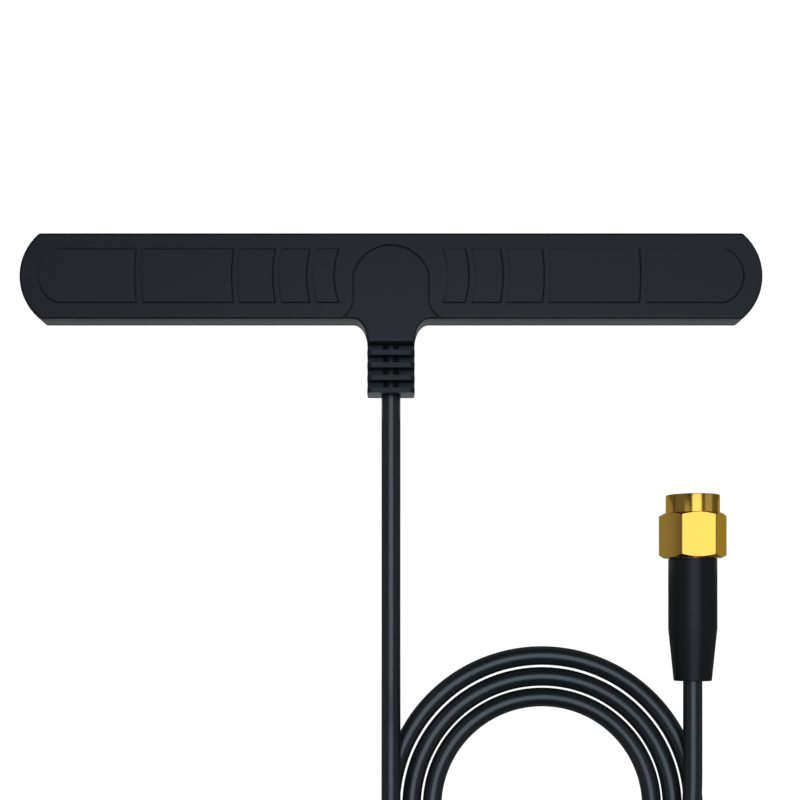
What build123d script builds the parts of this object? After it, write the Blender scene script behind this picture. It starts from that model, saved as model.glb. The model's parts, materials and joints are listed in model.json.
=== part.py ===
from build123d import *
import os
from math import cos, pi, radians, sin, sqrt, tan

# Stick-on bar antenna: a flat bar with a short neck, a slotted strain relief, a coiled
# coaxial lead and a screw-on coaxial plug. Millimetres.
# X runs along the bar, Y across it and away from the lead, Z up from the surface it lies on.
# Pieces of the head are drawn with Y = 0 on the bar's centre line and moved by head_shift.

# Bar and covers
bar_length = 100.0
bar_width = 11.5
head_height = 5.0
end_radius = 7.5
corner_radius = 0.6
edge_radius = 0.35
wall = 1.1
tape_thickness = 0.25
liner_thickness = 0.08
tape_inset = 0.5
plate_thickness = 0.7
plate_seam_radius = 0.1
plate_edge_radius = 0.12
lip_height = 0.8
lip_thickness = 0.7
fit_gap = 0.1

# Boss on the bar's front and the neck that carries the lead
boss_half_width = 5.05
boss_top = 4.06
boss_arch_radius = 5.24
boss_shoulder_radius = 1.2
shoulder_reach = 1.0
boss_flare_radius = 3.1
boss_side_bottom = -3.02
neck_length = 3.18
neck_half_width = 3.21
neck_flare_width = 1.95
ellipse_handle = 0.5523
parting_gap = 0.03
groove_width = 0.3
groove_depth = 0.5
parting_reach = 0.3

# Shallow sunk panels on the front: where each side of a panel crosses the centre line
panel_sides = [(7.66, 10.48), (11.35, 15.08), (15.92, 20.61), (21.43, 33.57)]
last_panel_side = 34.45
last_panel_straight = 45.0
last_panel_end = 47.43
panel_half_height = 3.6
ripple_centre = -2.35
panel_slope_width = 0.2
panel_depth = 0.14

# Circuit board, its copper and the small parts on it
board_length = 92.0
board_width = 7.2
board_thickness = 0.8
board_lift = 0.8
board_corner = 3.0
board_notch_half = 1.15
board_notch_end = -0.8
copper_thickness = 0.05
arm_start = 3.5
arm_length = 41.0
arm_width = 5.6
arm_slot_width = 0.6
peg_radius = 0.6
peg_places = [14.0, 30.0, 42.5]
post_radius = 1.1
chip_size = (1.6, 0.8, 0.45)
chip_places = [(2.0, -0.4), (-2.0, -0.4), (2.0, 1.2)]
pad_gap = 0.2
ground_pad_end = -1.6
signal_pad = (-0.6, -0.6, 0.6, 0.9)
ground_solder_radius = 0.62
signal_solder_radius = 0.6
wire_lap = 0.2
wire_bend_start = 0.25
wire_bend_end = 0.75

# Strain relief
relief_length = 6.77
relief_bottom = 0.15
relief_top = 4.9
relief_floor = 2.5
relief_corner = 0.7
relief_base_corner = 0.5
rib_count = 4
rib_thickness = 0.66
rib_pitch = 1.695
tongue_half_width = 1.7
tongue_length = 1.3
flange_half_width = 2.1
flange_length = 0.8

# Coaxial cable
cable_radius = 1.3
braid_radius = 0.97
core_radius = 0.76
conductor_radius = 0.24
cable_height = 1.75
slide_gap = 0.01
braid_end = -2.3
core_end = -1.7

# Coaxial plug: distances run back from the nut's front rim
plug_x = 40.75
plug_front_y = -24.5
nut_flats = 8.0
collar_radius = 3.6
collar_length = 2.45
hex_length = 6.0
hex_chamfer_angle = 30.0
hex_edge_radius = 0.18
nut_rim_radius = 0.08
thread_minor_radius = 2.79
mouth_radius = 3.25
mouth_depth = 0.5
thread_end = 4.5
relief_groove_radius = 3.3
relief_groove_end = 5.15
sleeve_front = 2.6
sleeve_radius = 2.275
insulator_radius = 2.05
gasket_front = 4.58
gasket_thickness = 0.45
gasket_radius = 3.1
flange_radius = 2.7
flange_thickness = 0.45
body_radius = 2.5
running_gap = 0.05
ring_front = 6.65
ring_thickness = 0.4
ring_inner_radius = 2.15
ring_outer_radius = 2.9
ring_split = 1.2
body_end = 8.8
stem_radius = 1.05
stem_bore_radius = 0.79
stem_end = 14.4
pin_radius = 0.455
pin_tip = 0.6
pin_shoulder = 2.6
pin_body_radius = 0.635
pin_end = 8.3
cup_depth = 1.5
ferrule_radius = 1.95
ferrule_wall = 0.3
ferrule_end = 15.4
boot_front = 8.52
boot_radius = 3.26
boot_straight = 9.5
boot_length = 16.5
boot_end_radius = 2.55
boot_edge = 0.1

# Coil of the lead, lying flat, and the height of the last turn that crosses over it
coil_centre = (20.66, -66.86)
coil_outer_radius = 20.6
coil_inner_radius = 15.03
coil_bottom_reach = 22.1
coil_edge_radius = 1.0
tail_turn_start = 200.0
tail_turn_steps = 8
ridge_inset = 0.2

# Worked out from the sizes above
plate_bottom = tape_thickness + liner_thickness
cover_bottom = plate_bottom + plate_thickness
roof_under = head_height - wall
bar_edge = -bar_width / 2
neck_end = bar_edge - neck_length
relief_end = neck_end - relief_length
head_shift = -(relief_end + bar_width / 2) / 2
board_bottom = cover_bottom + board_lift
board_top = board_bottom + board_thickness
copper_top = board_top + copper_thickness
plug_height = nut_flats / 2
nut_length = collar_length + hex_length
flange_front = gasket_front + gasket_thickness
exit_y = relief_end + head_shift
jacket_end = neck_end + tongue_length + flange_length
conductor_lift = copper_top + conductor_radius + slide_gap
signal_y = (signal_pad[1] + signal_pad[3]) / 2
wire_end = signal_y + wire_lap
ground_pad = (board_notch_half + pad_gap, pad_gap - board_width / 2,
              arm_start - pad_gap, ground_pad_end)

# The straight lead's route from the strain relief to where it joins the coil
lead_route = [
    (0.0, exit_y, cable_height),
    (0.0, -20.0, cable_height),
    (0.0, -34.0, 1.33),
    (0.0, -48.0, 1.32),
    (0.0, -59.5, 4.03),
    (0.0, -71.5, 4.0),
    (1.3, -80.5, 1.4),
]

parts = {}


def box_between(low, high):
    size = [b - a for a, b in zip(low, high)]
    middle = [(a + b) / 2 for a, b in zip(low, high)]
    return Pos(*middle) * Box(*size)


def prism(face, low, high):
    return extrude(Pos(0, 0, low) * face, amount=high - low)


def rod_along_y(radius, start_y, end_y, x=0.0, z=0.0):
    middle = Pos(x, (start_y + end_y) / 2, z)
    return middle * Rot(90, 0, 0) * Cylinder(radius, abs(end_y - start_y))


def bar_face(inset=0.0):
    half_length = bar_length / 2 - inset
    half_width = bar_width / 2 - inset
    radius = end_radius - inset
    straight = half_length - radius + sqrt(radius**2 - half_width**2)
    top = Line((-straight, half_width), (straight, half_width))
    right = ThreePointArc((straight, half_width), (half_length, 0), (straight, -half_width))
    bottom = Line((straight, -half_width), (-straight, -half_width))
    left = ThreePointArc((-straight, -half_width), (-half_length, 0), (-straight, half_width))
    face = make_face([top, right, bottom, left])
    return fillet(face.vertices(), corner_radius)


def arch_curves(foot_y=bar_edge):
    arch_middle = boss_top - boss_arch_radius
    arch_foot = arch_middle + sqrt(boss_arch_radius**2 - boss_half_width**2)
    flare_x = boss_half_width + boss_flare_radius
    drop = boss_side_bottom - foot_y
    foot_x = flare_x - sqrt(boss_flare_radius**2 - drop**2)
    half_drop = drop / 2
    bulge_x = flare_x - sqrt(boss_flare_radius**2 - half_drop**2)
    foot = (foot_x, foot_y)
    bulge = (bulge_x, boss_side_bottom - half_drop)
    side_low = (boss_half_width, boss_side_bottom)
    side_high = (boss_half_width, arch_foot)

    def other(point):
        return (-point[0], point[1])

    return [
        ThreePointArc(foot, bulge, side_low),
        Line(side_low, side_high),
        ThreePointArc(side_high, (0, boss_top), other(side_high)),
        Line(other(side_high), other(side_low)),
        ThreePointArc(other(side_low), other(bulge), other(foot)),
    ]


def neck_curves():
    foot_x = arch_curves()[0].start_point().X
    flare_x = neck_half_width + neck_flare_width
    across = ellipse_handle * neck_flare_width
    along = ellipse_handle * neck_length

    def flare(sign):
        return Bezier(
            (sign * flare_x, bar_edge),
            (sign * (flare_x - across), bar_edge),
            (sign * neck_half_width, neck_end + along),
            (sign * neck_half_width, neck_end),
        )

    return [
        Line((-foot_x, bar_edge), (-flare_x, bar_edge)),
        flare(-1),
        Line((-neck_half_width, neck_end), (neck_half_width, neck_end)),
        flare(1),
        Line((flare_x, bar_edge), (foot_x, bar_edge)),
    ]


def rounded_shoulders(face):
    shoulders = [v for v in face.vertices() if abs(v.Y) < shoulder_reach]
    return fillet(shoulders, boss_shoulder_radius)


def boss_face():
    return rounded_shoulders(make_face(arch_curves() + neck_curves()))


def parting_face():
    arch = arch_curves(bar_edge - parting_reach)
    foot_x = arch[0].start_point().X
    low = neck_end - parting_reach
    below = Polyline(
        (-foot_x, bar_edge - parting_reach),
        (-foot_x, low),
        (foot_x, low),
        (foot_x, bar_edge - parting_reach),
    )
    return rounded_shoulders(make_face(arch + [below]))


def inner_face():
    neck_room = box_face(-flange_half_width, neck_end + tongue_length, flange_half_width, 0)
    tongue_room = box_face(-tongue_half_width, neck_end - 1, tongue_half_width, 0)
    return bar_face(wall) + neck_room + tongue_room


def box_face(low_x, low_y, high_x, high_y):
    middle = Pos((low_x + high_x) / 2, (low_y + high_y) / 2)
    return middle * Rectangle(high_x - low_x, high_y - low_y)


def cover_blank():
    outline = bar_face() + boss_face()
    block = prism(outline, cover_bottom, head_height)
    top_edges = block.faces().sort_by(Axis.Z)[-1].edges()
    block = fillet(top_edges, edge_radius)
    return block - prism(inner_face(), cover_bottom - 1, roof_under)


def parting_groove():
    outline = parting_face()
    on_front = [e for e in outline.edges() if e.center().Y > bar_edge + corner_radius]
    arch = Wire(on_front)
    path = trace(arch.edges(), line_width=groove_width)
    return prism(path, head_height - groove_depth, head_height + 1)


def ripple_x(crossing, half):
    return ripple_centre + sqrt((crossing - ripple_centre) ** 2 - half**2)


def panel_face(inner, outer, grow):
    half = panel_half_height + grow
    inner, outer = inner - grow, outer + grow
    inner_x, outer_x = ripple_x(inner, half), ripple_x(outer, half)
    return make_face([
        Line((inner_x, half), (outer_x, half)),
        ThreePointArc((outer_x, half), (outer, 0), (outer_x, -half)),
        Line((outer_x, -half), (inner_x, -half)),
        ThreePointArc((inner_x, -half), (inner, 0), (inner_x, half)),
    ])


def end_panel_face(grow):
    half = panel_half_height + grow
    inner, outer = last_panel_side - grow, last_panel_end + grow
    inner_x = ripple_x(inner, half)
    straight = last_panel_straight
    return make_face([
        Line((inner_x, half), (straight, half)),
        ThreePointArc((straight, half), (outer, 0), (straight, -half)),
        Line((straight, -half), (inner_x, -half)),
        ThreePointArc((inner_x, -half), (inner, 0), (inner_x, half)),
    ])


def sunk_panels():
    low = Pos(0, 0, head_height - panel_depth)
    high = Pos(0, 0, head_height + panel_depth)
    floor_grow = -panel_slope_width / 2
    above_grow = panel_slope_width * 3 / 2
    pairs = [(end_panel_face(floor_grow), end_panel_face(above_grow))]
    for inner, outer in panel_sides:
        floor = panel_face(inner, outer, floor_grow)
        pairs.append((floor, panel_face(inner, outer, above_grow)))
    panels = []
    for floor, above in pairs:
        right = loft([low * floor, high * above], ruled=True)
        panels += [right, mirror(right, Plane.YZ)]
    return panels


def make_covers():
    blank = cover_blank()
    boss = parting_face()
    groove = parting_groove()
    housing = blank - prism(offset(boss, parting_gap), 0, head_height + 1)
    housing = housing - groove
    for panel in sunk_panels():
        housing = housing - panel
    parts["front_cover"] = housing
    parts["boss_cover"] = (blank & prism(boss, 0, head_height + 1)) - groove


def tongue_slot():
    slot_half = tongue_half_width + parting_gap
    return box_face(-slot_half, neck_end - 1, slot_half, neck_end + tongue_length + flange_length)


def make_base_plate():
    plate = prism(bar_face() + boss_face(), plate_bottom, cover_bottom)
    for face, radius in ((0, plate_edge_radius), (-1, plate_seam_radius)):
        rim = plate.faces().sort_by(Axis.Z)[face].edges()
        rim = [edge for edge in rim if edge.center().Y > neck_end + fit_gap]
        plate = fillet(rim, radius)
    lip_outside = wall + fit_gap
    ring = bar_face(lip_outside) - bar_face(lip_outside + lip_thickness)
    ring = ring - box_face(-neck_half_width, bar_edge, neck_half_width, 0)
    plate = plate + prism(ring, cover_bottom, cover_bottom + lip_height)
    for x in peg_places:
        for side in (-1, 1):
            post = Pos(side * x, 0) * Circle(post_radius)
            peg = Pos(side * x, 0) * Circle(peg_radius)
            plate = plate + prism(post, cover_bottom, board_bottom)
            plate = plate + prism(peg, cover_bottom, copper_top + copper_thickness)
    plate = plate - prism(tongue_slot(), 0, cover_bottom + 1)
    channel_half = braid_radius + fit_gap
    channel = box_between(
        (-channel_half, neck_end, cable_height - channel_half),
        (channel_half, board_notch_end, board_bottom),
    )
    parts["rear_cover"] = plate - channel


def make_adhesive():
    outline = bar_face(tape_inset)
    parts["foam_tape"] = prism(outline, liner_thickness, plate_bottom)
    parts["release_liner"] = prism(outline, 0, liner_thickness)


def peg_holes(clearance):
    holes = []
    for x in peg_places:
        for side in (-1, 1):
            hole = Pos(side * x, 0) * Circle(peg_radius + clearance)
            holes.append(prism(hole, board_bottom - 1, copper_top + 1))
    return holes


def make_board():
    outline = RectangleRounded(board_length, board_width, board_corner)
    notch = box_face(-board_notch_half, -board_width, board_notch_half, board_notch_end)
    board = prism(outline - notch, board_bottom, board_top)
    for hole in peg_holes(fit_gap):
        board = board - hole
    parts["circuit_board"] = board


def make_copper():
    arm = box_face(arm_start, -arm_width / 2, arm_start + arm_length, arm_width / 2)
    slot_end = arm_start + arm_length - arm_width
    slot = box_face(arm_start + arm_width, -arm_slot_width / 2, slot_end, arm_slot_width / 2)
    tongue = prism(arm - slot, board_top, copper_top)
    for hole in peg_holes(2 * fit_gap):
        tongue = tongue - hole
    parts["right_antenna_arm"] = tongue
    parts["left_antenna_arm"] = mirror(tongue, Plane.YZ)


def make_pads():
    low_x, low_y, high_x, high_y = ground_pad
    right = box_face(low_x, low_y, high_x, high_y)
    left = mirror(right, Plane.YZ)
    pads = [prism(face, board_top, copper_top) for face in (left, right, box_face(*signal_pad))]
    parts["feed_pads"] = Compound(pads)


def make_chips():
    long_side, short_side, height = chip_size
    chips = []
    for x, y in chip_places:
        chip = box_between(
            (x - long_side / 2, y - short_side / 2, board_top),
            (x + long_side / 2, y + short_side / 2, board_top + height),
        )
        chips.append(chip)
    parts["matching_parts"] = Compound(chips)


def make_head_cable():
    jacket = rod_along_y(cable_radius, relief_end, jacket_end, z=cable_height)
    jacket = jacket - rod_along_y(braid_radius + slide_gap, relief_end, jacket_end, z=cable_height)
    parts["head_cable_jacket"] = jacket
    braid = rod_along_y(braid_radius, relief_end, braid_end, z=cable_height)
    braid = braid - rod_along_y(core_radius + slide_gap, relief_end, braid_end, z=cable_height)
    parts["head_cable_braid"] = braid
    bore = conductor_radius + slide_gap
    core = rod_along_y(core_radius, relief_end, core_end, z=cable_height)
    core = core - rod_along_y(bore, relief_end, core_end, z=cable_height)
    parts["head_cable_core"] = core
    path = FilletPolyline(
        (0, relief_end, cable_height),
        (0, core_end + wire_bend_start, cable_height),
        (0, core_end + wire_bend_end, conductor_lift),
        (0, wire_end, conductor_lift),
        radius=3 * conductor_radius / 2,
    )
    section = Plane(origin=path @ 0, z_dir=path % 0) * Circle(conductor_radius)
    parts["head_cable_conductor"] = sweep(section, path=path)


def solder_blob(x, y, radius):
    ball = Pos(x, y, copper_top) * Sphere(radius)
    above = box_between(
        (x - radius, y - radius, copper_top),
        (x + radius, y + radius, copper_top + radius),
    )
    return ball & above


def make_solder():
    ground_x = (ground_pad[0] + ground_pad[2]) / 2
    ground_y = (ground_pad[1] + ground_pad[3]) / 2
    blobs = [solder_blob(side * ground_x, ground_y, ground_solder_radius) for side in (-1, 1)]
    bore = conductor_radius + slide_gap
    wire = rod_along_y(bore, core_end, wire_end + slide_gap, z=conductor_lift)
    under = box_between(
        (-bore, core_end, board_top),
        (bore, wire_end + slide_gap, conductor_lift),
    )
    blobs.append(solder_blob(0, signal_y, signal_solder_radius) - wire - under)
    parts["solder_joints"] = Compound([solid for blob in blobs for solid in blob.solids()])


def rib_profile():
    half = neck_half_width
    width = Rectangle(2 * half, relief_top - relief_bottom)
    corners = fillet(width.vertices().group_by(Axis.Y)[-1], relief_corner)
    corners = fillet(corners.vertices().group_by(Axis.Y)[0], relief_base_corner)
    return Pos(0, (relief_top + relief_bottom) / 2) * corners


def facing_lead(at_y):
    return Plane(origin=(0, at_y, 0), x_dir=(1, 0, 0), z_dir=(0, -1, 0))


def standing(face, front_y, length):
    return extrude(facing_lead(front_y) * face, amount=length)


def make_strain_relief():
    profile = rib_profile()
    floor = profile & box_face(-bar_width, 0, bar_width, relief_floor)
    relief = standing(floor, neck_end - slide_gap, relief_length - slide_gap)
    for number in range(rib_count):
        rib_end = relief_end + number * rib_pitch
        relief = relief + standing(profile, rib_end + rib_thickness, rib_thickness)
    tongue_top = roof_under - parting_gap
    tongue = box_between(
        (-tongue_half_width, neck_end - slide_gap, plate_bottom),
        (tongue_half_width, neck_end + tongue_length + flange_length, tongue_top),
    )
    flange = box_between(
        (-flange_half_width + parting_gap, neck_end + tongue_length + slide_gap, cover_bottom + slide_gap),
        (flange_half_width - parting_gap, neck_end + tongue_length + flange_length, tongue_top),
    )
    relief = relief + tongue + flange
    bore = rod_along_y(cable_radius + slide_gap, relief_end - 1, 0, z=cable_height)
    mouth_height = relief_top - relief_bottom - cable_radius - cable_height
    mouth_width = cable_radius + slide_gap
    mouth = box_between(
        (-mouth_width, relief_end - 1, cable_height),
        (mouth_width, relief_end + rib_thickness * 3 / 4, cable_height + mouth_height),
    )
    parts["strain_relief"] = relief - bore - mouth


def turned(points):
    # solid of revolution on the plug's axis from (radius, distance behind the nut's rim) points
    outline = [(radius, -back) for radius, back in points]
    face = make_face(Polyline(*outline, close=True))
    return revolve(face, axis=Axis.Y)


def on_plug(shape):
    return Pos(plug_x, plug_front_y, plug_height) * shape


def make_nut():
    corner = nut_flats / 2 / cos(radians(30))
    hexagon = RegularPolygon(nut_flats / 2, 6, major_radius=False)
    hexagon = fillet(hexagon.vertices(), hex_edge_radius)
    blank = standing(hexagon, -collar_length, hex_length)
    drop = (corner - nut_flats / 2 + fit_gap) * tan(radians(hex_chamfer_angle))
    flat_radius = nut_flats / 2 - fit_gap
    lathe = turned([
        (0, collar_length),
        (flat_radius, collar_length),
        (corner, collar_length + drop),
        (corner, nut_length - drop),
        (flat_radius, nut_length),
        (0, nut_length),
    ])
    rim = nut_rim_radius
    collar = turned([
        (0, 0),
        (collar_radius - rim, 0),
        (collar_radius, rim),
        (collar_radius, collar_length + fit_gap),
        (0, collar_length + fit_gap),
    ])
    bore_radius = body_radius + running_gap
    flange_bore = flange_radius + running_gap
    shoulder = flange_front + flange_thickness + running_gap
    ring_room = ring_outer_radius + fit_gap
    bore = turned([
        (0, -1),
        (mouth_radius, -1),
        (mouth_radius, mouth_depth),
        (thread_minor_radius, mouth_depth + mouth_radius - thread_minor_radius),
        (thread_minor_radius, thread_end),
        (relief_groove_radius, thread_end),
        (relief_groove_radius, relief_groove_end),
        (flange_bore, relief_groove_end),
        (flange_bore, shoulder),
        (bore_radius, shoulder),
        (bore_radius, ring_front - running_gap),
        (ring_room, ring_front - running_gap),
        (ring_room, ring_front + ring_thickness + running_gap),
        (bore_radius, ring_front + ring_thickness + running_gap),
        (bore_radius, nut_length + 1),
        (0, nut_length + 1),
    ])
    parts["coupling_nut"] = on_plug((blank & lathe) + collar - bore)


def make_snap_ring():
    ring = turned([
        (ring_inner_radius, ring_front),
        (ring_outer_radius, ring_front),
        (ring_outer_radius, ring_front + ring_thickness),
        (ring_inner_radius, ring_front + ring_thickness),
    ])
    split = box_between((-ring_split / 2, -nut_length, 0), (ring_split / 2, 0, body_radius * 2))
    parts["snap_ring"] = on_plug(ring - split)


def make_gasket():
    inside = sleeve_radius + slide_gap
    parts["gasket"] = on_plug(turned([
        (inside, gasket_front),
        (gasket_radius, gasket_front),
        (gasket_radius, flange_front - slide_gap),
        (inside, flange_front - slide_gap),
    ]))


def make_plug_body():
    groove = ring_inner_radius - running_gap
    bore = insulator_radius + slide_gap
    seat = pin_end + slide_gap
    flange_back = flange_front + flange_thickness
    parts["plug_body"] = on_plug(turned([
        (bore, sleeve_front),
        (sleeve_radius, sleeve_front),
        (sleeve_radius, flange_front),
        (flange_radius, flange_front),
        (flange_radius, flange_back),
        (body_radius, flange_back),
        (body_radius, ring_front - running_gap),
        (groove, ring_front - running_gap),
        (groove, ring_front + ring_thickness + running_gap),
        (body_radius, ring_front + ring_thickness + running_gap),
        (body_radius, body_end),
        (stem_radius, body_end),
        (stem_radius, stem_end),
        (stem_bore_radius, stem_end),
        (stem_bore_radius, seat),
        (bore, seat),
    ]))


def make_insulator():
    bore = pin_body_radius + slide_gap
    parts["insulator"] = sleeve(bore, insulator_radius, sleeve_front + slide_gap, pin_end)


def make_pin():
    cup = conductor_radius + slide_gap
    point = pin_radius / 2
    parts["centre_pin"] = on_plug(turned([
        (0, pin_tip),
        (point, pin_tip),
        (pin_radius, pin_tip + point),
        (pin_radius, pin_shoulder),
        (pin_body_radius, pin_shoulder),
        (pin_body_radius, pin_end),
        (cup, pin_end),
        (cup, pin_end - cup_depth),
        (0, pin_end - cup_depth),
    ]))
    parts["plug_cable_conductor"] = on_plug(turned([
        (0, pin_end - cup_depth + slide_gap),
        (conductor_radius, pin_end - cup_depth + slide_gap),
        (conductor_radius, boot_front + boot_length),
        (0, boot_front + boot_length),
    ]))


def sleeve(inner, outer, start, end):
    return on_plug(turned([(inner, start), (outer, start), (outer, end), (inner, end)]))


def make_plug_cable():
    end = boot_front + boot_length
    jacket_start = stem_end + fit_gap
    parts["plug_cable_core"] = sleeve(conductor_radius + slide_gap, core_radius, seat_gap(), end)
    inner = stem_radius + slide_gap
    outer = ferrule_radius - ferrule_wall - slide_gap
    parts["plug_cable_braid"] = sleeve(inner, outer, body_end + slide_gap, stem_end)
    parts["plug_cable_jacket"] = sleeve(core_radius + slide_gap, cable_radius, jacket_start, end)
    inside = ferrule_radius - ferrule_wall
    parts["crimp_ferrule"] = sleeve(inside, ferrule_radius, body_end + slide_gap, ferrule_end)


def seat_gap():
    return pin_end + 2 * slide_gap


def make_boot():
    end = boot_front + boot_length
    room = ferrule_radius + slide_gap
    bore = cable_radius + slide_gap
    throat = body_radius + slide_gap
    parts["cable_boot"] = on_plug(turned([
        (throat, boot_front),
        (boot_radius - boot_edge, boot_front),
        (boot_radius, boot_front + boot_edge),
        (boot_radius, boot_front + boot_straight),
        (boot_end_radius, end - boot_edge),
        (boot_end_radius - boot_edge, end),
        (bore, end),
        (bore, ferrule_end + slide_gap),
        (room, ferrule_end + slide_gap),
        (room, body_end + slide_gap),
        (throat, body_end + slide_gap),
    ]))


def runs_of(route):
    points = [Vector(*point) for point in route]
    return [after - before for before, after in zip(points, points[1:])]


def bend_radii(route):
    runs = runs_of(route)
    radii = []
    for before, after in zip(runs, runs[1:]):
        half_turn = radians(before.get_angle(after)) / 2
        radii.append(0.45 * min(before.length, after.length) / tan(half_turn))
    return radii


def cable_tube(route):
    path = FilletPolyline(*route, radius=bend_radii(route))
    section = Plane(origin=path @ 0, z_dir=path % 0) * Circle(cable_radius)
    tube = sweep(section, path=path)
    expected = pi * cable_radius**2 * path.length
    print(f"tube {path.length:.1f} long, volume {tube.volume:.2f} of {expected:.2f}")
    return tube


def polar(radius, angle):
    return (
        coil_centre[0] + radius * cos(radians(angle)),
        coil_centre[1] + radius * sin(radians(angle)),
    )


def make_cord():
    print("bend radii", [round(radius, 1) for radius in bend_radii(lead_route)])
    parts["cable_lead"] = cable_tube(lead_route)
    boot_end_y = plug_front_y - boot_front - boot_length
    tail = rod_along_y(cable_radius, boot_end_y, coil_centre[1], x=plug_x, z=plug_height)
    parts["cable_tail"] = tail

    outer = coil_outer_radius + cable_radius
    reach = coil_bottom_reach + cable_radius
    upper = Pos(*coil_centre) * Circle(outer)
    lower = Pos(*coil_centre) * Ellipse(outer, reach)
    below = box_face(coil_centre[0] - 2 * outer, coil_centre[1] - 2 * outer,
                     coil_centre[0] + 2 * outer, coil_centre[1])
    hole = Pos(*coil_centre) * Circle(coil_inner_radius - cable_radius)
    disc = prism((upper - below) + (lower & below) - hole, 0, 2 * cable_radius)
    disc = fillet(disc.faces().sort_by(Axis.Z)[-1].edges(), coil_edge_radius)

    joined = plug_x - coil_centre[0]
    inner = coil_inner_radius + ridge_inset
    points = []
    for step in range(tail_turn_steps + 1):
        share = step / tail_turn_steps
        eased = share**2 * (3 - 2 * share)
        radius = inner + (joined - inner) * eased
        points.append(polar(radius, tail_turn_start + (360 - tail_turn_start) * share))
    heading = radians(tail_turn_start + 90)
    crossing = Spline(points, tangents=[(cos(heading), sin(heading)), (0, 1)])
    band = trace(crossing, line_width=2 * cable_radius)
    ridge = prism(band, cable_radius, plug_height + cable_radius)
    parts["cable_coil"] = disc + ridge


def main():
    make_covers()
    make_base_plate()
    make_adhesive()
    make_board()
    make_copper()
    make_pads()
    make_chips()
    make_head_cable()
    make_solder()
    make_strain_relief()
    for name in list(parts):
        parts[name] = Pos(0, head_shift, 0) * parts[name]
    make_nut()
    make_snap_ring()
    make_gasket()
    make_plug_body()
    make_insulator()
    make_pin()
    make_plug_cable()
    make_boot()
    make_cord()
    os.makedirs("parts", exist_ok=True)
    for name, shape in parts.items():
        export_step(shape, f"parts/{name}.step")


main()
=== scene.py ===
import json
from math import atan2, cos, degrees, pi, radians, sin, sqrt, tan
import bpy
import bmesh
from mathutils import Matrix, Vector


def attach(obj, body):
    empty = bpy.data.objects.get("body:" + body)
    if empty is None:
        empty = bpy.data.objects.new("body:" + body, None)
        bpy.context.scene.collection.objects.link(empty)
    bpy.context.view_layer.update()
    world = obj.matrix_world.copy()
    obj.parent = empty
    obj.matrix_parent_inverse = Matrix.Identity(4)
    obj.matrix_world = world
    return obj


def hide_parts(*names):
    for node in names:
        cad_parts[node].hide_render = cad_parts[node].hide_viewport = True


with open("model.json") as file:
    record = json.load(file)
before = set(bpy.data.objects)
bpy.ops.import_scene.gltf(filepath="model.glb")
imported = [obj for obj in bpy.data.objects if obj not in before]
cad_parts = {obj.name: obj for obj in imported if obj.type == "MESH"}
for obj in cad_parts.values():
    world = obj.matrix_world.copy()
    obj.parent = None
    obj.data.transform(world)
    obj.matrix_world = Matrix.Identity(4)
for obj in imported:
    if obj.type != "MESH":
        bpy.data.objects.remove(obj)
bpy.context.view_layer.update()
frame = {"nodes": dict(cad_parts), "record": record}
cadNodes = frame["nodes"]
mm = 0.001


def linearColour(hexText):
    # sRGB hex to the linear values that shaders take
    channels = [int(hexText[i:i + 2], 16) / 255 for i in (1, 3, 5)]
    return tuple(c / 12.92 if c <= 0.04045 else ((c + 0.055) / 1.055) ** 2.4 for c in channels) + (1.0,)


def addNode(tree, kind, settings=None, **inputs):
    # a node with its settings; an input is named or numbered (n0, n1) and takes a value or another
    # node's output socket
    node = tree.nodes.new(kind)
    for name, value in (settings or {}).items():
        setattr(node, name, value)
    for name, value in inputs.items():
        numbered = name[0] == "n" and name[1:].isdigit()
        socket = node.inputs[int(name[1:]) if numbered else name.replace("_", " ")]
        if isinstance(value, bpy.types.NodeSocket):
            tree.links.new(value, socket)
        else:
            socket.default_value = value
    return node


# camera: straight above the lead, far enough to see the bar from end to end
cameraPlace = {
    "height": 195.8 * mm,
    "y": -42.93 * mm,
    "lens": 63.9,
    "shiftRight": 0.01125,
    "shiftUp": 0.29,
}
cameraData = bpy.data.cameras.new("studioCamera")
cameraData.lens = cameraPlace["lens"]
cameraData.shift_x = cameraPlace["shiftRight"]
cameraData.shift_y = cameraPlace["shiftUp"]
cameraData.clip_start = 0.01
cameraData.clip_end = 20.0
camera = bpy.data.objects.new("studioCamera", cameraData)
camera.location = (0.0, cameraPlace["y"], cameraPlace["height"])
bpy.context.scene.collection.objects.link(camera)
bpy.context.scene.camera = camera
bpy.context.scene.view_settings.view_transform = "Standard"
print("camera placed")

# the lead: straight out of the strain relief, over the coil's left side, three turns, up to the plug
lead = {
    "radius": 1.3,
    "route": [  # mm, from the strain relief to the coil
        (0.0, -10.725, 1.75),
        (0.0, -20.0, 1.75),
        (0.0, -34.0, 1.33),
        (0.0, -48.0, 1.32),
        (0.0, -59.5, 4.03),
        (0.0, -71.5, 4.0),
        (0.1, -78.5, 2.75),
    ],
    "coilCentre": (20.66, -66.86),
    "turnRadii": (20.71, 17.85, 15.03, 20.09),  # three turns, and where the last one comes back out
    "firstBottom": [  # the first half turn bulges: angle, radius
        (225, 22.75), (245, 22.75), (270, 22.3), (300, 21.9), (330, 21.3), (345, 20.95), (360, 20.71),
    ],
    "pointsPerTurn": 20,
    "firstAngle": 234,
    "lyingHeight": 1.31,
    "plugHeight": 4.0,
    "climb": 60,  # degrees over which the last turn climbs onto the others
    "tail": [(40.75, -66.0, 4.0), (40.75, -58.0, 4.0), (40.75, -49.52, 4.0)],
    "length": 0.4793,
}


def eased(share):
    share = min(max(share, 0.0), 1.0)
    return share * share * (3 - 2 * share)


def between(table, at):
    for (a, first), (b, second) in zip(table, table[1:]):
        if at <= b:
            return first + (second - first) * (at - a) / (b - a)
    return table[-1][1]


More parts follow.
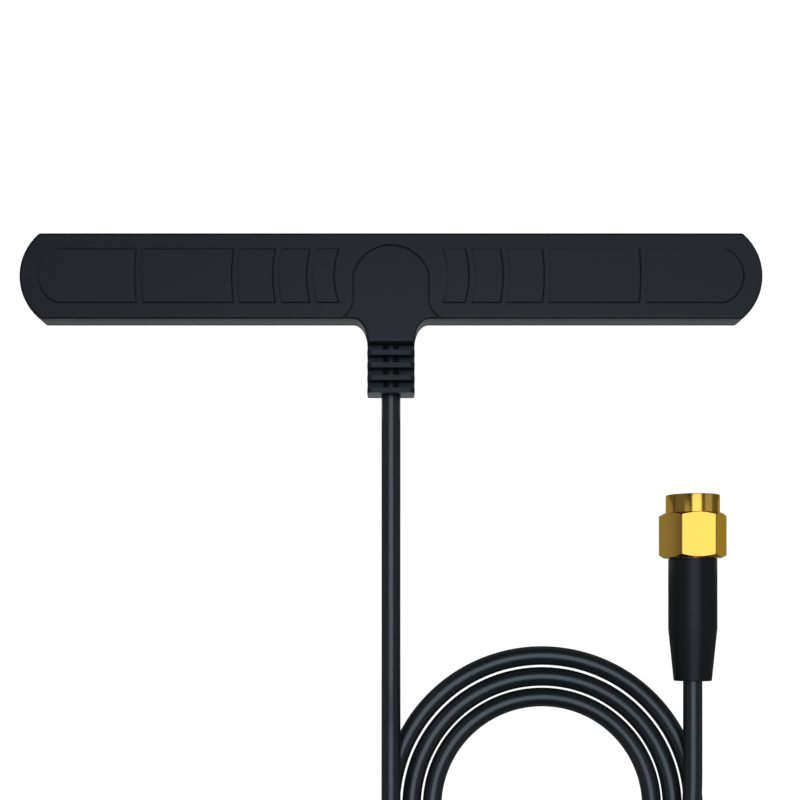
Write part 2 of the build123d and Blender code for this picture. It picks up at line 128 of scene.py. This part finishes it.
def coilPoint(angle):
    # the turns lie flat in their top halves and move inward in their bottom halves
    first, second, third, out = lead["turnRadii"]
    low, high = lead["lyingHeight"], lead["plugHeight"]
    height = low
    if angle <= 360:
        radius = between(lead["firstBottom"], angle)
    elif angle <= 720:
        radius = first + (second - first) * eased((angle - 540) / 180)
    elif angle <= 1080:
        radius = second + (third - second) * eased((angle - 900) / 180)
    else:
        radius = third + (out - third) * eased((angle - 1260) / 180)
        height = low + (high - low) * eased((angle - 1260) / lead["climb"])
    radius /= cos(pi / lead["pointsPerTurn"])  # the curve runs inside its control points
    x, y = lead["coilCentre"]
    return x + radius * cos(radians(angle)), y + radius * sin(radians(angle)), height


def makeLead():
    points = list(lead["route"])
    angle = lead["firstAngle"]
    step = 360 // lead["pointsPerTurn"]
    while angle < 1440 - step / 2:
        points.append(coilPoint(angle))
        angle += step
    points += lead["tail"]
    curve = bpy.data.curves.new("antennaLead", "CURVE")
    curve.dimensions = "3D"
    spline = curve.splines.new("NURBS")
    spline.points.add(len(points) - 1)
    for target, point in zip(spline.points, points):
        target.co = (*(value * mm for value in point), 1.0)
        target.radius = lead["radius"] * mm  # the tube is as thick as its points say, since the bevel is 1
    spline.order_u = 3
    spline.use_endpoint_u = True
    spline.resolution_u = 10
    curve.bevel_depth = 1.0
    curve.bevel_resolution = 7
    curve.use_fill_caps = True
    piece = bpy.data.objects.new("antennaLead", curve)
    bpy.context.scene.collection.objects.link(piece)
    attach(piece, "antenna")
    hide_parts("cable_lead", "cable_coil", "cable_tail")
    return piece


# the coupling nut: the CAD nut's outline and bore, with its real thread inside
nut = {
    "place": (40.75, -24.5, 4.0),  # middle of the front rim; the axis runs back along -Y
    "flats": 8.0,
    "edgeRadius": 0.28,
    "edgeSteps": 6,
    "flatSteps": 12,
    "collarRadius": 3.6,
    "collarLength": 2.45,
    "length": 8.45,
    "chamferRadius": 3.9,
    "chamferSlope": 30,
    "rimRadius": 0.08,
    "rimSteps": 4,
    "mouthRadius": 3.25,
    "mouthDepth": 0.5,
    "threadMinor": 2.79,
    "threadMajor": 3.175,
    "pitch": 0.7056,  # 36 turns to the inch
    "threadEnd": 4.5,
    "reliefRadius": 3.3,
    "shoulder": 5.8,
    "backBore": 2.55,
    "threadSteps": 72,
    "crestShare": 1 / 4,  # flat top of the ridge as a share of the pitch
    "flatHold": 0.4,  # degrees from a corner's rounding to the first point on the flat
    "sharpAngle": 22,
    "mergeDistance": 0.0005,
    "threadFoot": 0.03,  # how far the ridge is sunk into the wall
}


def cornerRounding():
    # how far out a corner's rounding has its centre, and half the angle that it takes up
    rounding = nut["edgeRadius"]
    centre = (nut["flats"] / 2 - rounding) / cos(radians(30))
    return centre, atan2(rounding * sin(radians(30)), centre + rounding * cos(radians(30)))


def hexRadius(angle):
    # distance from the axis to a hexagon with rounded corners
    half = nut["flats"] / 2
    rounding = nut["edgeRadius"]
    centre, reach = cornerRounding()
    fromFlat = degrees(angle) % 60 - 30
    fromCorner = radians(30 - abs(fromFlat))
    if fromCorner < reach:
        return centre * cos(fromCorner) + sqrt(rounding ** 2 - (centre * sin(fromCorner)) ** 2)
    return half / cos(radians(fromFlat))


def nutAngles():
    # close together round the corners, even along the flats, with one close to each end of a flat
    reach = degrees(cornerRounding()[1])
    hold = nut["flatHold"]
    sextant = [30 - reach + 2 * reach * i / nut["edgeSteps"] for i in range(nut["edgeSteps"])]
    start, end = 30 + reach, 90 - reach
    sextant += [start, start + hold]
    sextant += [start + (end - start) * i / nut["flatSteps"] for i in range(1, nut["flatSteps"])]
    sextant.append(end - hold)
    return [radians(angle + 30 + 60 * turn) for turn in range(6) for angle in sextant]


def makeNut():
    shape = bmesh.new()

    def skin(first, second):
        # a band of faces between two closed rows of points
        for i in range(len(first)):
            j = (i + 1) % len(first)
            shape.faces.new((first[i], first[j], second[j], second[i]))

    angles = nutAngles()
    slope = tan(radians(nut["chamferSlope"]))
    rim, collar, length = nut["rimRadius"], nut["collarRadius"], nut["length"]

    def ring(radius, back):
        # radius and distance back from the rim are values or functions of the angle
        corners = []
        for angle in angles:
            r = radius(angle) if callable(radius) else radius
            y = back(angle) if callable(back) else back
            corners.append(shape.verts.new((r * cos(angle), -y, r * sin(angle))))
        return corners

    def chamferFront(angle):
        return nut["collarLength"] + (hexRadius(angle) - nut["chamferRadius"]) * slope

    def chamferBack(angle):
        return length - (hexRadius(angle) - nut["chamferRadius"]) * slope

    rings = [ring(nut["mouthRadius"], nut["mouthDepth"]), ring(nut["mouthRadius"], 0)]
    for i in range(nut["rimSteps"] + 1):
        turn = radians(90 * i / nut["rimSteps"])
        rings.append(ring(collar - rim + rim * sin(turn), rim - rim * cos(turn)))
    rings += [
        ring(collar, nut["collarLength"]),
        ring(nut["chamferRadius"], nut["collarLength"]),
        ring(hexRadius, chamferFront),
        ring(hexRadius, chamferBack),
        ring(nut["chamferRadius"], length),
        ring(nut["backBore"], length),
        ring(nut["backBore"], nut["shoulder"]),
        ring(nut["reliefRadius"], nut["shoulder"]),
        ring(nut["reliefRadius"], nut["threadEnd"]),
        ring(nut["threadMajor"], nut["threadEnd"]),
    ]
    for first, second in zip(rings, rings[1:]):
        skin(first, second)

    # the thread: one closed V-shaped ridge that winds back from the mouth
    steps = nut["threadSteps"]
    turns = (nut["threadEnd"] - nut["mouthDepth"]) / nut["pitch"] - 1
    flank = nut["pitch"] / 2
    crest = nut["pitch"] * nut["crestShare"] / 2
    foot = nut["threadMajor"] + nut["threadFoot"]
    section = [(foot, -flank), (nut["threadMinor"], -crest), (nut["threadMinor"], crest), (foot, flank)]
    rows = []
    for i in range(int(turns * steps) + 1):
        angle = 2 * pi * i / steps
        middle = nut["mouthDepth"] + nut["pitch"] / 2 + nut["pitch"] * i / steps
        rows.append([
            shape.verts.new((r * cos(angle), -(middle + shift), r * sin(angle)))
            for r, shift in section
        ])
    for first, second in zip(rows, rows[1:]):
        skin(first, second)
    shape.faces.new(rows[0])
    shape.faces.new(rows[-1])
    # the wall that the ridge stands on
    wallFront = ring(nut["threadMajor"], nut["mouthDepth"])
    wallBack = ring(nut["threadMajor"], nut["threadEnd"])
    skin(wallFront, wallBack)
    skin(ring(nut["mouthRadius"], nut["mouthDepth"]), wallFront)
    bmesh.ops.remove_doubles(shape, verts=shape.verts, dist=nut["mergeDistance"])
    bmesh.ops.recalc_face_normals(shape, faces=shape.faces)
    bmesh.ops.scale(shape, vec=(mm, mm, mm), verts=shape.verts)
    bmesh.ops.translate(shape, vec=Vector(nut["place"]) * mm, verts=shape.verts)
    mesh = bpy.data.meshes.new("threadedNut")
    shape.to_mesh(mesh)
    shape.free()
    mesh.shade_smooth()
    mesh.set_sharp_from_angle(angle=radians(nut["sharpAngle"]))
    piece = bpy.data.objects.new("threadedNut", mesh)
    bpy.context.scene.collection.objects.link(piece)
    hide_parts("coupling_nut")
    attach(piece, "nut")
    return piece


nutPiece = makeNut()
print("nut built")

leadPiece = makeLead()
print("lead laid")


def newMaterial(name, **surface):
    material = bpy.data.materials.new(name)
    material.use_nodes = True
    tree = material.node_tree
    shader = tree.nodes["Principled BSDF"]
    for socket, value in surface.items():
        shader.inputs[socket.replace("_", " ")].default_value = value
    place = addNode(tree, "ShaderNodeTexCoord").outputs["Object"]
    return material, tree, shader, place


def giveRelief(tree, shader, height, strength, depth):
    # bump from a 0 to 1 height; depth is the real height of the pattern
    bump = addNode(tree, "ShaderNodeBump", Strength=strength, Distance=depth, Height=height)
    tree.links.new(bump.outputs["Normal"], shader.inputs["Normal"])


def giveColours(tree, shader, pattern, first, second):
    # two colours, mixed by a 0 to 1 pattern
    tone = addNode(tree, "ShaderNodeMix", {"data_type": "RGBA"}, n0=pattern,
                   n6=linearColour(first), n7=linearColour(second))
    tree.links.new(tone.outputs[2], shader.inputs["Base Color"])


def giveGloss(tree, shader, pattern, low, high):
    tree.links.new(spread(tree, pattern, low, high), shader.inputs["Roughness"])


def spread(tree, value, low, high):
    # a 0 to 1 pattern stretched between two values
    return addNode(tree, "ShaderNodeMapRange", n0=value, n3=low, n4=high).outputs["Result"]


def stretched(tree, place, x, y, z):
    return addNode(tree, "ShaderNodeMapping", Vector=place, Scale=(x, y, z)).outputs["Vector"]


mouldedAbs = {
    "colour": "#0d0e10",
    "shade": "#131518",
    "grain": 0.25 * mm,  # spark grain, drawn about five times too coarse so that it shows
    "grainDepth": 0.006 * mm,
    "flow": 14 * mm,  # slow change of gloss along the flow of the melt
    "relief": 0.3,
    "roughness": (0.44, 0.5),
    "specular": 0.22,
}


def makeMouldedAbs(name, facts):
    # black ABS from a spark-eroded mould: an even dull sheen with a very fine grain
    material, tree, shader, place = newMaterial(name, IOR=1.53, Specular_IOR_Level=facts["specular"])
    grain = addNode(tree, "ShaderNodeTexNoise", Vector=place, Scale=1 / facts["grain"], Detail=2.0)
    flow = addNode(tree, "ShaderNodeTexNoise", Vector=place, Scale=1 / facts["flow"], Detail=1.0)
    giveColours(tree, shader, flow.outputs["Fac"], facts["colour"], facts["shade"])
    giveGloss(tree, shader, flow.outputs["Fac"], *facts["roughness"])
    giveRelief(tree, shader, grain.outputs["Fac"], facts["relief"], facts["grainDepth"])
    return material


extrudedPvc = {
    "colour": "#1f2123",
    "shade": "#25272a",
    "draw": 0.5 * mm,  # faint lines that the die leaves along the jacket
    "drawDepth": 0.003 * mm,
    "cloud": 5 * mm,
    "relief": 0.25,
    "roughness": (0.27, 0.33),
    "specular": 0.5,
}


def makeExtrudedPvc(name, facts):
    # black PVC drawn through a die: smooth and satin, so it takes one clean line of light
    material, tree, shader, place = newMaterial(name, IOR=1.53, Specular_IOR_Level=facts["specular"])
    ripple = addNode(tree, "ShaderNodeTexNoise", Vector=place, Scale=1 / facts["draw"], Detail=2.0)
    cloud = addNode(tree, "ShaderNodeTexNoise", Vector=place, Scale=1 / facts["cloud"], Detail=2.0)
    giveColours(tree, shader, cloud.outputs["Fac"], facts["colour"], facts["shade"])
    giveGloss(tree, shader, cloud.outputs["Fac"], *facts["roughness"])
    giveRelief(tree, shader, ripple.outputs["Fac"], facts["relief"], facts["drawDepth"])
    return material


platedGold = {
    "colour": "#cfa84f",
    "wornColour": "#bd983f",
    "edgeTint": (0.95, 0.78, 0.4, 1.0),  # keeps the faces that are seen edge-on golden
    "turning": 0.11 * mm,  # pitch of the turning lines, drawn twice too coarse
    "turningDepth": 0.0012 * mm,
    "drawnOut": 0.01,  # the noise is drawn out across the axis until it makes rings
    "cloud": 2.5 * mm,
    "wear": 0.35,  # most that the worn colour takes over
    "relief": 0.12,
    "roughness": (0.13, 0.22),
}


def makePlatedGold(name, facts):
    # brass turned on a lathe and gold plated: a mirror with fine rings round the axis, a little
    # dull between them
    material, tree, shader, place = newMaterial(name, Metallic=1.0, Specular_Tint=facts["edgeTint"])
    rings = addNode(tree, "ShaderNodeTexNoise", Detail=3.0, Scale=1 / facts["turning"],
                    Vector=stretched(tree, place, facts["drawnOut"], 1.0, facts["drawnOut"]))
    cloud = addNode(tree, "ShaderNodeTexNoise", Vector=place, Scale=1 / facts["cloud"], Detail=3.0)
    wear = spread(tree, cloud.outputs["Fac"], 0.0, facts["wear"])
    giveColours(tree, shader, wear, facts["colour"], facts["wornColour"])
    giveGloss(tree, shader, rings.outputs["Fac"], *facts["roughness"])
    giveRelief(tree, shader, rings.outputs["Fac"], facts["relief"], facts["turningDepth"])
    return material


acrylicFoam = {
    "colour": "#232527",
    # a darker tone that the cell pattern mixes in: painted shade in the open cells
    "hole": "#0c0d0e",
    "cell": 0.16 * mm,
    "cellDepth": 0.06 * mm,
    "relief": 0.8,
    "roughness": 0.9,
    "specular": 0.3,
}


def makeAcrylicFoam():
    # closed-cell acrylic foam cut to shape: dull, with small cells along its cut edge, darkened as painted
    # shade in their hollows
    material, tree, shader, place = newMaterial(
        "acrylicFoamTape", IOR=1.47, Roughness=acrylicFoam["roughness"],
        Specular_IOR_Level=acrylicFoam["specular"])
    cells = addNode(tree, "ShaderNodeTexVoronoi", Vector=place, Scale=1 / acrylicFoam["cell"])
    # the cell pattern that mixes in the painted shade of the cells
    cellShadeMask = spread(tree, cells.outputs["Distance"], 1.0, 0.0)
    giveColours(tree, shader, cellShadeMask, acrylicFoam["hole"], acrylicFoam["colour"])
    giveRelief(tree, shader, cells.outputs["Distance"], acrylicFoam["relief"], acrylicFoam["cellDepth"])
    return material


linerFilm = {
    "colour": "#a8322a",
    "shade": "#93261f",
    "crinkle": 3.5 * mm,
    "crinkleDepth": 0.02 * mm,
    "along": 0.4,  # the crinkles are longer along the bar
    "relief": 0.5,
    "roughness": 0.34,
    "specular": 0.45,
}


def makeLinerFilm():
    # siliconised polyethylene film: smooth, waxy, a little crinkled from rolling
    material, tree, shader, place = newMaterial("linerFilm", IOR=1.51, Roughness=linerFilm["roughness"],
                                                Specular_IOR_Level=linerFilm["specular"])
    crinkle = addNode(tree, "ShaderNodeTexNoise", Vector=stretched(tree, place, linerFilm["along"], 1, 1),
                      Scale=1 / linerFilm["crinkle"], Detail=3.0)
    giveColours(tree, shader, crinkle.outputs["Fac"], linerFilm["colour"], linerFilm["shade"])
    giveRelief(tree, shader, crinkle.outputs["Fac"], linerFilm["relief"], linerFilm["crinkleDepth"])
    return material


glassEpoxy = {
    "colour": "#1c5a36",
    "thread": "#2a6e46",
    "pitch": 0.45 * mm,
    "threadDepth": 0.01 * mm,
    "relief": 0.3,
    "roughness": 0.38,
}


def makeGlassEpoxy():
    # woven glass in green epoxy: satin, the weave showing through as small squares
    material, tree, shader, place = newMaterial(
        "glassEpoxyBoard", IOR=1.55, Roughness=glassEpoxy["roughness"])
    weave = addNode(tree, "ShaderNodeTexChecker", Vector=place, Scale=1 / glassEpoxy["pitch"],
                    Color1=linearColour(glassEpoxy["colour"]), Color2=linearColour(glassEpoxy["thread"]))
    tree.links.new(weave.outputs["Color"], shader.inputs["Base Color"])
    giveRelief(tree, shader, weave.outputs["Fac"], glassEpoxy["relief"], glassEpoxy["threadDepth"])
    return material


tarnish = {"uneven": 0.06, "relief": 0.2, "depth": 0.003 * mm}
cloudiness = {"uneven": 0.05, "relief": 0.2, "depth": 0.004 * mm}


def makeDullMetal(name, colour, shade, roughness, grain):
    # a soft drawn, etched or plated metal with small uneven patches of tarnish
    material, tree, shader, place = newMaterial(name, Metallic=1.0)
    patches = addNode(tree, "ShaderNodeTexNoise", Vector=place, Scale=1 / grain, Detail=4.0)
    giveColours(tree, shader, patches.outputs["Fac"], colour, shade)
    uneven = tarnish["uneven"]
    giveGloss(tree, shader, patches.outputs["Fac"], roughness - uneven, roughness + uneven)
    giveRelief(tree, shader, patches.outputs["Fac"], tarnish["relief"], tarnish["depth"])
    return material


def makeSolidPlastic(name, colour, shade, roughness, grain):
    # a plain moulded or turned insulator, a little cloudy in colour and gloss
    material, tree, shader, place = newMaterial(name, IOR=1.4)
    cloud = addNode(tree, "ShaderNodeTexNoise", Vector=place, Scale=1 / grain, Detail=3.0)
    giveColours(tree, shader, cloud.outputs["Fac"], colour, shade)
    uneven = cloudiness["uneven"]
    giveGloss(tree, shader, cloud.outputs["Fac"], roughness - uneven, roughness + uneven)
    giveRelief(tree, shader, cloud.outputs["Fac"], cloudiness["relief"], cloudiness["depth"])
    return material


coverAbs = makeMouldedAbs("sparkErodedAbs", mouldedAbs)
# the base plate takes a copy of the cover's ABS with less specular and a darker colour: the darker colour is
# painted shade along the foot of the side wall
baseShadeAbs = makeMouldedAbs("absWithPaintedShade", {
    **mouldedAbs, "colour": "#0a0b0c", "shade": "#0e0f11", "specular": 0.15,
})
reliefPvc = makeMouldedAbs("mouldedPvc", {
    **mouldedAbs, "colour": "#1a1c1f", "shade": "#202327", "roughness": (0.42, 0.48), "specular": 0.24,
})
bootPvc = makeMouldedAbs("bootPvc", {
    **mouldedAbs, "colour": "#17181a", "shade": "#1b1c1f", "roughness": (0.38, 0.43), "specular": 0.21,
    "grainDepth": 0.003 * mm,
})
jacketPvc = makeExtrudedPvc("extrudedPvc", extrudedPvc)
# a darker, less glossy copy of the jacket PVC: painted shade for the stretch that lies in the strain
# relief's slots
ribShadedPvc = makeExtrudedPvc("ribShadedPvc", {
    **extrudedPvc, "colour": "#16171a", "shade": "#1c1e21", "specular": 0.16,
})
gold = makePlatedGold("goldPlatedBrass", platedGold)
finish = {
    "abs_cover": coverAbs,
    "abs_boss": coverAbs,
    "abs_base": baseShadeAbs,
    "foam": makeAcrylicFoam(),
    "liner": makeLinerFilm(),
    "fibreglass": makeGlassEpoxy(),
    "copper": makeDullMetal("etchedCopper", "#d98c62", "#b86a44", 0.34, 0.8 * mm),
    "ceramic_chip": makeSolidPlastic("firedCeramic", "#8d7a62", "#6f5d48", 0.5, 0.3 * mm),
    "solder": makeDullMetal("tinSolder", "#c6c7c8", "#a4a6a8", 0.28, 0.5 * mm),
    "cable_pvc": jacketPvc,
    "relief_pvc": reliefPvc,
    "braid": makeDullMetal("tinnedBraid", "#bfb9ae", "#8f887c", 0.4, 0.15 * mm),
    "ptfe": makeSolidPlastic("turnedPtfe", "#f1f0ea", "#e6e4dc", 0.45, 0.9 * mm),
    "bronze": makeDullMetal("springBronze", "#b98f52", "#94703c", 0.3, 0.5 * mm),
    "silicone": makeSolidPlastic("siliconeRubber", "#a23c27", "#8a2f1d", 0.55, 0.7 * mm),
    "gold_plate": gold,
    "gold_pin": gold,
    "gold_nut": gold,
    "nickel": makeDullMetal("nickelPlate", "#cfc8bb", "#b3ab9d", 0.24, 0.7 * mm),
    "boot_rubber": bootPvc,
}
for row in frame["record"]["subparts"]:
    piece = cadNodes[row["node"]]
    piece.data.materials.clear()
    piece.data.materials.append(finish[row["material_slot"]])
# the stretch inside the strain relief gets a darker, less glossy copy of the jacket: painted shade from the
# ribs
shadedStretchSlots = cadNodes["head_cable_jacket"].data.materials
shadedStretchSlots.clear()
shadedStretchSlots.append(ribShadedPvc)
leadPiece.data.materials.append(jacketPvc)
nutPiece.data.materials.append(gold)
print("finishes given")

studio = {
    "floorSize": 6.0,
    "floorHeight": -0.03 * mm,
    "cardHeight": -0.01 * mm,
    "floorSeen": 1.08,
    "floorReflected": 0.16,
    "sideWalls": 0.22,  # the room's walls to the left and right, as the object reflects them
    "endWalls": 0.015,
    "wallsMeet": (0.3, 0.75),  # how far sideways the end walls' light fades into the side walls'
    "headLight": {"place": (0.045, -0.09, 0.6), "size": 0.5, "radiance": 3.6, "colour": (0.76, 0.88, 1.0)},
    "headFill": {"place": (0.3, -0.75, 0.5), "size": 0.45, "radiance": 2.8, "colour": (0.76, 0.88, 1.0)},
    "headSide": {"place": (0.85, 0.15, 0.33), "size": 0.4, "radiance": 2.2, "colour": (0.76, 0.88, 1.0)},
    "leadLight": {"place": (0.0, -0.03, 0.6), "size": 0.5, "radiance": 2.6, "colour": (0.74, 0.87, 1.0)},
    "plugMiddle": (0.04075, -0.029, 0.004),
    "plugDistance": 0.5,
    "plugLights": {  # lean from overhead toward +X in degrees, size, radiance
        "plugTop": (6.0, 0.36, 2.15),
        "plugLeft": (-33.0, 0.19, 0.5),
        "plugRight": (60.0, 0.32, 0.4),
    },
    "cards": {  # x and y limits of white cards on the floor and how bright they are
        "barCard": (-0.052, 0.052, -0.0022, -0.00103, 0.88),
        "neckCard": (-0.004, 0.004, -0.0135, -0.0108, 0.74),
        "plugCard": (0.017, 0.056, -0.0345, -0.0235, 0.44),
    },
    "cardColour": (0.93, 1.0, 1.02, 1.0),
}


def glowMaterial(name, strength):
    material = bpy.data.materials.new(name)
    material.use_nodes = True
    tree = material.node_tree
    tree.nodes.clear()
    glow = addNode(tree, "ShaderNodeEmission", Strength=strength)
    addNode(tree, "ShaderNodeOutputMaterial", Surface=glow.outputs[0])
    return tree, glow, material


def makeStudio():
    bpy.ops.mesh.primitive_plane_add(size=studio["floorSize"], location=(0, 0, studio["floorHeight"]))
    floor = bpy.context.object
    floor.name = "paperFloor"
    tree, glow, material = glowMaterial("whitePaper", 1.0)
    seen = addNode(tree, "ShaderNodeLightPath").outputs["Is Camera Ray"]
    strength = addNode(tree, "ShaderNodeMix", Factor=seen, A=studio["floorReflected"], B=studio["floorSeen"])
    tree.links.new(strength.outputs[0], glow.inputs["Strength"])
    floor.data.materials.append(material)
    for name, (left, right, front, back, strength) in studio["cards"].items():
        middle = ((left + right) / 2, (front + back) / 2, studio["cardHeight"])
        bpy.ops.mesh.primitive_plane_add(size=1, location=middle)
        card = bpy.context.object
        card.name = name
        card.scale = (right - left, back - front, 1)
        glow, material = glowMaterial(name, strength)[1:]
        if name != "plugCard":
            glow.inputs["Color"].default_value = studio["cardColour"]
        card.data.materials.append(material)
        card.visible_camera = False

    world = bpy.data.worlds.new("studioRoom")
    bpy.context.scene.world = world
    world.use_nodes = True
    tree = world.node_tree
    seen = addNode(tree, "ShaderNodeLightPath").outputs["Is Camera Ray"]
    direction = addNode(tree, "ShaderNodeTexCoord").outputs["Generated"]
    sideways = addNode(tree, "ShaderNodeSeparateXYZ", Vector=direction).outputs["X"]
    sideways = addNode(tree, "ShaderNodeMath", {"operation": "ABSOLUTE"}, n0=sideways).outputs[0]
    start, end = studio["wallsMeet"]
    walls = addNode(tree, "ShaderNodeMapRange", {"interpolation_type": "SMOOTHSTEP"}, n0=sideways,
                    n1=start, n2=end, n3=studio["endWalls"], n4=studio["sideWalls"]).outputs["Result"]
    strength = addNode(tree, "ShaderNodeMix", Factor=seen, A=walls, B=studio["floorSeen"])
    tree.links.new(strength.outputs[0], tree.nodes["Background"].inputs["Strength"])
    tree.nodes["Background"].inputs["Color"].default_value = (1, 1, 1, 1)


def softbox(name, place, aim, size, radiance, colour, lights):
    # an area light sends out radiance * pi * area; it lights only the pieces in the given list
    data = bpy.data.lights.new(name, "AREA")
    data.shape = "SQUARE"
    data.size = size
    data.color = colour
    data.energy = radiance * pi * size * size
    light = bpy.data.objects.new(name, data)
    light.location = place
    light.rotation_euler = (Vector(aim) - Vector(place)).to_track_quat("-Z", "Y").to_euler()
    light.visible_camera = False
    bpy.context.scene.collection.objects.link(light)
    group = bpy.data.collections.new(name + "Group")
    for piece in lights:
        group.objects.link(piece)
    light.light_linking.receiver_collection = group
    return light


makeStudio()
headPieces = [cadNodes[name] for name in ("front_cover", "boss_cover", "rear_cover")]
goldPieces = [nutPiece, cadNodes["plug_body"], cadNodes["centre_pin"]]
otherPieces = [piece for piece in cadNodes.values() if piece not in headPieces + goldPieces] + [leadPiece]
for name, lights in (("headLight", headPieces), ("headFill", headPieces), ("headSide", headPieces),
                     ("leadLight", otherPieces)):
    facts = studio[name]
    straightDown = name in ("headLight", "leadLight")
    aim = (facts["place"][0], facts["place"][1], 0.0) if straightDown else (0.0, 0.0, 0.0)
    softbox(name, facts["place"], aim, facts["size"], facts["radiance"], facts["colour"], lights)
middle = Vector(studio["plugMiddle"])
for name, (lean, size, radiance) in studio["plugLights"].items():
    turn = radians(lean)
    place = middle + studio["plugDistance"] * Vector((sin(turn), 0, cos(turn)))
    softbox(name, place, middle, size, radiance, (1.0, 1.0, 1.0), goldPieces)
print("studio lit")
